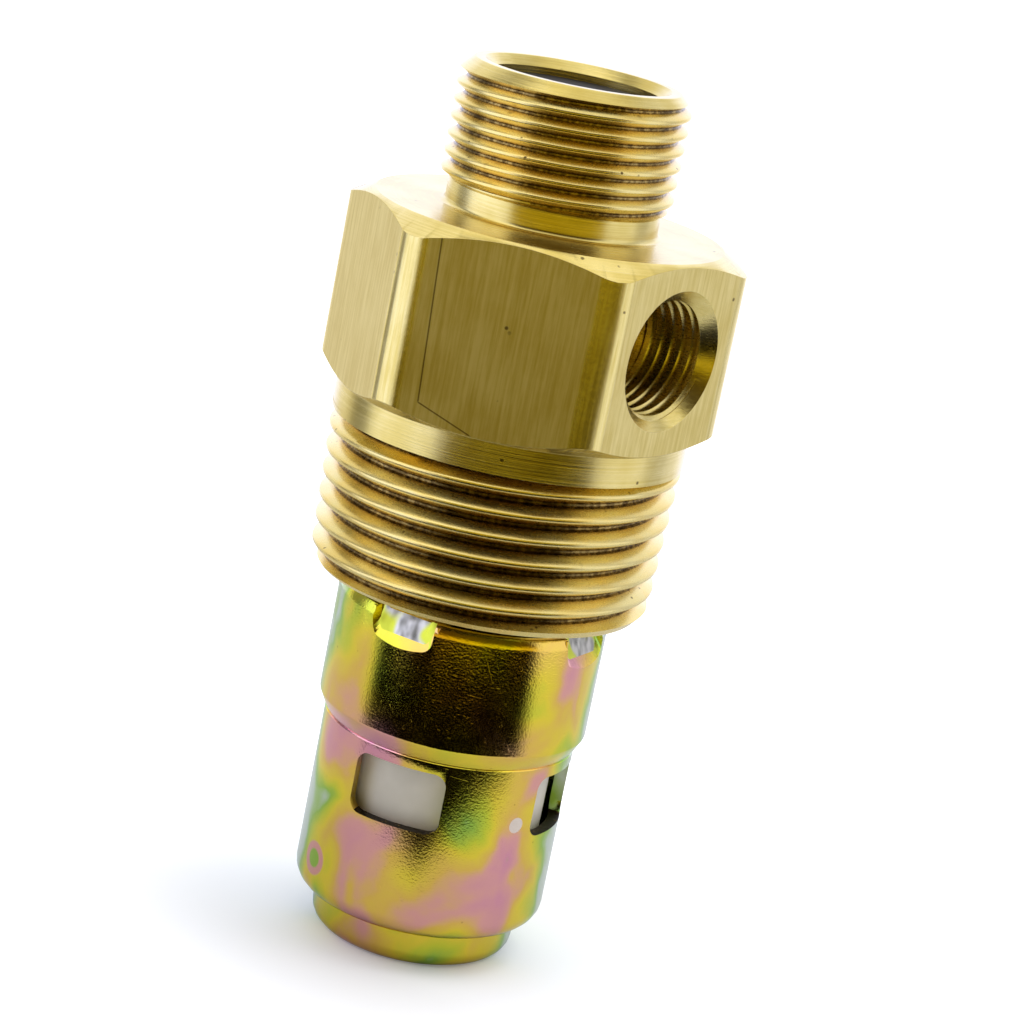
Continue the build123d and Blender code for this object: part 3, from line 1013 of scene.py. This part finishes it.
    def share_materials(self, cage, sizes):
        """Cut edges of the windows, struck faces of the stakes, and plating over the rest."""
        struck, cut, worn = 1, 2, 3
        stakes = [radians(10 + 360 / sizes.stake_count * number) for number in range(sizes.stake_count)]
        window_reach = sizes.window_height / 2 + sizes.lip_width
        for face in cage.data.polygons:
            centre, normal = face.center, face.normal
            radius = sqrt(centre.x ** 2 + centre.y ** 2)
            outwards = (normal.x * centre.x + normal.y * centre.y) / max(radius, WELD)
            near_window = abs(centre.z - WINDOW_CENTRE) < window_reach and radius > 8 * MM
            if near_window and abs(outwards) < 0.2:
                face.material_index = cut
            elif near_window and 0.2 < outwards < 0.94:
                face.material_index = worn
            elif (centre.z > STAKE_FOOT and radius < SLEEVE_RADIUS - 0.12 * MM and outwards > 0.45
                  and normal.z < 0.4):
                reach = max(centre.x * cos(angle) + centre.y * sin(angle) for angle in stakes)
                if acos(min(reach / radius, 1)) < radians(14):
                    face.material_index = struck


class VALVE_OT_poppet(bpy.types.Operator):
    """Mould the white poppet"""

    bl_idname = "valve.poppet"
    bl_label = "Poppet"

    def execute(self, context):
        radius, low, high = POPPET_HIGH.x, POPPET_LOW.z, POPPET_HIGH.z
        wall, crown = 1.5 * MM, 1.6 * MM
        poppet = turned("poppet_cup", rounded([
            (0, high, 0),
            (radius, high, 0.4 * MM),
            (radius, low, 0.4 * MM),
            (radius - wall, low, 0.2 * MM),
            (radius - wall, high - crown, 0.5 * MM),
            (4.4 * MM, high - crown, 0.1 * MM),
            (4.4 * MM, high - crown - 1 * MM, 0.2 * MM),
            (0, high - crown - 1 * MM, 0),
        ]), segments=160)
        colours = context.scene.valve_colours
        finished(poppet, "poppet", "poppet", slot="white_plastic",
                 materials=[moulded_plastic("white_plastic", colours.poppet, rgb(208, 201, 182), 0.35, 0.004 * MM)])
        return {"FINISHED"}


class VALVE_OT_spring(bpy.types.Operator):
    """Wind the return spring and grind its ends flat"""

    bl_idname = "valve.spring"
    bl_label = "Return spring"

    def execute(self, context):
        wire = 0.45 * MM
        pitch = 3.8 * MM
        low, high = SPRING_LOW.z, SPRING_HIGH.z
        clear_selection()
        bpy.ops.mesh.primitive_circle_add(vertices=20, radius=wire, location=(SPRING_HIGH.x - wire, 0, low),
                                          rotation=(pi / 2, 0, 0))
        spring = bpy.context.active_object
        spring.name = "return_spring_wire"
        place(spring)
        turns = (high - low) / pitch
        apply_modifier(spring, "SCREW", steps=int(48 * turns), render_steps=int(48 * turns),
                       angle=2 * pi * turns, screw_offset=high - low, iterations=1, axis="Z")
        bpy.ops.object.mode_set(mode="EDIT")
        close_ends()
        for height, above in ((low, False), (high, True)):
            bpy.ops.mesh.select_all(action="SELECT")
            bpy.ops.mesh.bisect(plane_co=(0, 0, height), plane_no=(0, 0, 1), use_fill=True,
                                clear_inner=not above, clear_outer=above, threshold=WELD)
        welded()
        colours = context.scene.valve_colours
        finished(spring, "housing", "return_spring", slot="spring_steel", materials=[spring_wire(colours)], angle=40)
        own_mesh(spring)
        return {"FINISHED"}


class VALVE_OT_plug(bpy.types.Operator):
    """Mould the black plug in the inlet"""

    bl_idname = "valve.plug"
    bl_label = "Inlet plug"

    def execute(self, context):
        radius, low, high = PLUG_HIGH.x, PLUG_LOW.z, PLUG_HIGH.z
        wall, crown = 1.0 * MM, 1.2 * MM
        plug = turned("inlet_plug_cap", rounded([
            (0, high, 0),
            (radius, high, 0.2 * MM),
            (radius, low, 0.2 * MM),
            (radius - wall, low, 0.2 * MM),
            (radius - wall, high - crown, 0.3 * MM),
            (0, high - crown, 0),
        ]), segments=128)
        colours = context.scene.valve_colours
        finished(plug, "housing", "inlet_plug", slot="black_plastic",
                 materials=[moulded_plastic("black_plastic", colours.plug, rgb(18, 18, 20), 0.5, 0.05 * MM, gloss=0.1)])
        return {"FINISHED"}


# Stage


class VALVE_OT_stage(bpy.types.Operator):
    """Set up the floor, the light tent, the lamp and the camera"""

    bl_idname = "valve.stage"
    bl_label = "Stage"

    def execute(self, context):
        self.floor()
        self.tent(context.scene)
        self.lamp()
        self.camera(context.scene)
        context.scene.view_settings.view_transform = "Standard"
        return {"FINISHED"}

    def floor(self):
        """A white floor that keeps the valve's shadow and shows white to the camera, with a painted shadow: its
        camera-only glow is dimmed near the foot.
        """
        clear_selection()
        bpy.ops.mesh.primitive_plane_add(size=6)
        floor = bpy.context.active_object
        floor.name = "floor"
        material = bpy.data.materials.new("floor_white")
        finish = Finish(material)
        paper = finish.node("ShaderNodeBsdfDiffuse", Color=(0.84, 0.86, 0.88, 1))
        path = finish.node("ShaderNodeLightPath")
        glow = finish.node("ShaderNodeEmission", Color=(1, 1, 1, 1))
        lit_paper = finish.node("ShaderNodeAddShader")
        finish.tree.links.new(paper.outputs[0], lit_paper.inputs[0])
        finish.tree.links.new(glow.outputs[0], lit_paper.inputs[1])
        across, along, up = finish.split(finish.position())
        distance = finish.math("SQRT", across * across + along * along) * (1 / MM)
        bearing = finish.math("ARCTAN2", along, across) * (180 / pi) - FRONT * 180 / pi
        # Painted shadow: the camera-only glow is dimmer near the foot, darkening the floor round the valve.
        glow_with_painted_shadow = finish.ease(distance, 9.0, 40.0, 0.16, 0.55)
        finish.feed(glow, "Strength", glow_with_painted_shadow * Reading(finish, path.outputs["Is Camera Ray"]))
        half_width = finish.math("MINIMUM", (distance - 30.0) * 2.4, 68.0)
        shade = finish.ease(half_width - finish.math("ABSOLUTE", bearing + 5.0), -9.0, 9.0)
        shade = shade * finish.ease(distance, 26.0, 35.0)
        mirrored = Reading(finish, path.outputs["Is Glossy Ray"])
        dark_cloth = finish.node("ShaderNodeBsdfDiffuse", Color=(0.002, 0.0013, 0.0003, 1))
        near_floor = finish.node("ShaderNodeMixShader")
        finish.feed(near_floor, "0", finish.math("MAXIMUM", shade, 0.24) * mirrored)
        finish.tree.links.new(lit_paper.outputs[0], near_floor.inputs[1])
        finish.tree.links.new(dark_cloth.outputs[0], near_floor.inputs[2])
        unseen = finish.node("ShaderNodeBsdfTransparent")
        both = finish.node("ShaderNodeMixShader")
        finish.feed(both, "0", finish.ease(distance, 112.0, 124.0) * mirrored)
        finish.tree.links.new(near_floor.outputs[0], both.inputs[1])
        finish.tree.links.new(unseen.outputs[0], both.inputs[2])
        output = finish.node("ShaderNodeOutputMaterial")
        finish.tree.links.new(both.outputs[0], output.inputs["Surface"])
        floor.data.materials.append(material)

    def tent(self, scene):
        """A white light tent, open in front of the valve and with a gap at each side."""
        world = bpy.data.worlds.new("light_tent")
        scene.world = world
        finish = Finish(world)
        direction = finish.node("ShaderNodeTexCoord").outputs["Generated"]
        turned_to_front = finish.node("ShaderNodeVectorRotate", {"rotation_type": "Z_AXIS"},
                                      Vector=direction, Angle=-FRONT).outputs[0]
        across, along, up = finish.split(turned_to_front)
        bearing = finish.math("ARCTAN2", along, across) * (180 / pi)
        rise = finish.math("ARCSINE", up) * (180 / pi)

        def band(start, end, soft=2.5):
            return finish.ease(bearing, start - soft, start + soft) - finish.ease(bearing, end - soft, end + soft)

        opening = band(-43, 61) * finish.ease(rise, 42.0, 60.0, 1.0, 0.0)
        room = finish.ramp((rise + 14.0) / 59.0, [
            (0.0, (0.004, 0.002, 0.0005, 1)), (0.045, (0.06, 0.045, 0.002, 1)), (0.10, (0.85, 0.70, 0.10, 1)),
            (0.2, (0.80, 0.64, 0.02, 1)), (0.4, (0.12, 0.08, 0.004, 1)), (1.0, (0.05, 0.035, 0.004, 1)),
        ])
        dim_side = finish.ease(bearing, 18.0, 26.0) * finish.ease(rise, -10.5, -8.0, 0.9, 0.0)
        room = finish.mix(dim_side, room, (0.004, 0.002, 0.0005, 1))
        left_gap = band(-122, -99) * 0.75
        right_gap = band(103, 126) * 0.35
        soft_boxes = band(-99, -43) * 0.45 + band(61, 103) * 0.1
        backdrop = finish.ease(finish.math("ABSOLUTE", bearing), 140.0, 155.0) * 0.4
        level = 1.06 - left_gap - right_gap + soft_boxes + backdrop
        coolness = (band(-110, -43) + band(61, 140) * 0.6 + backdrop * 2.5) * finish.ease(rise, 30.0, 60.0, 1.0, 0.0)
        cloth = finish.join(level * (1.0 - coolness * 0.05), level * (0.98 + coolness * 0.02),
                            level * (0.92 + coolness * 0.42))
        seen = Reading(finish, finish.node("ShaderNodeLightPath").outputs["Is Camera Ray"])
        colour = finish.mix(opening, cloth, room)
        colour = finish.mix(seen, colour, (1, 1, 1, 1))
        background = finish.node("ShaderNodeBackground", Color=colour, Strength=1.0)
        output = finish.node("ShaderNodeOutputWorld")
        finish.tree.links.new(background.outputs[0], output.inputs["Surface"])

    def lamp(self):
        clear_selection()
        bpy.ops.object.light_add(type="AREA", location=LAMP_PLACE)
        lamp = bpy.context.active_object
        lamp.name = "key_lamp"
        lamp.data.shape = "DISK"
        lamp.data.size = 0.35
        lamp.data.energy = 0.9
        lamp.rotation_euler = (-Vector(LAMP_PLACE)).to_track_quat("-Z", "Y").to_euler()
        lamp.visible_glossy = False

    def camera(self, scene):
        clear_selection()
        place_of_camera = Vector((cos(FRONT), sin(FRONT), 0)) * CAMERA_DISTANCE
        place_of_camera.z = CAMERA_HEIGHT
        bpy.ops.object.camera_add(location=place_of_camera)
        camera = bpy.context.active_object
        camera.name = "camera"
        camera.data.lens = CAMERA_LENS
        camera.data.sensor_width = SENSOR
        camera.data.clip_start = 0.01
        level_view = Matrix(((1, 0, 0), (0, 0, -1), (0, 1, 0))) @ Matrix.Rotation(-FRONT - pi / 2, 3, "Z")
        view = (Matrix.Rotation(CAMERA_ROLL, 3, "Z") @ Matrix.Rotation(CAMERA_PITCH, 3, "X")
                @ Matrix.Rotation(CAMERA_YAW, 3, "Y") @ level_view)
        upright = Matrix(((1, 0, 0), (0, -1, 0), (0, 0, -1)))
        camera.rotation_euler = (view.transposed() @ upright).to_euler()
        scene.camera = camera


class VALVE_PT_panel(bpy.types.Panel):
    """The valve's pieces and settings"""

    bl_idname = "VALVE_PT_panel"
    bl_label = "Non-return valve"
    bl_space_type = "VIEW_3D"
    bl_region_type = "UI"
    bl_category = "Valve"

    def draw(self, context):
        layout = self.layout
        for operator in OPERATORS:
            layout.operator(operator.bl_idname)
        for settings in (context.scene.valve_sizes, context.scene.valve_colours):
            for name in settings.bl_rna.properties.keys():
                if name not in ("rna_type", "name"):
                    layout.prop(settings, name)


OPERATORS = (VALVE_OT_body, VALVE_OT_cage, VALVE_OT_poppet, VALVE_OT_spring, VALVE_OT_plug, VALVE_OT_stage)
CLASSES = (ValveSizes, ValveColours) + OPERATORS + (VALVE_PT_panel,)


def register():
    for each in CLASSES:
        bpy.utils.register_class(each)
    bpy.types.Scene.valve_sizes = PointerProperty(type=ValveSizes)
    bpy.types.Scene.valve_colours = PointerProperty(type=ValveColours)


def unregister():
    del bpy.types.Scene.valve_sizes
    del bpy.types.Scene.valve_colours
    for each in reversed(CLASSES):
        bpy.utils.unregister_class(each)


def main():
    register()
    bpy.ops.valve.body()
    bpy.ops.valve.cage()
    bpy.ops.valve.poppet()
    bpy.ops.valve.spring()
    bpy.ops.valve.plug()
    bpy.ops.valve.stage()


if __name__ == "__main__":
    main()
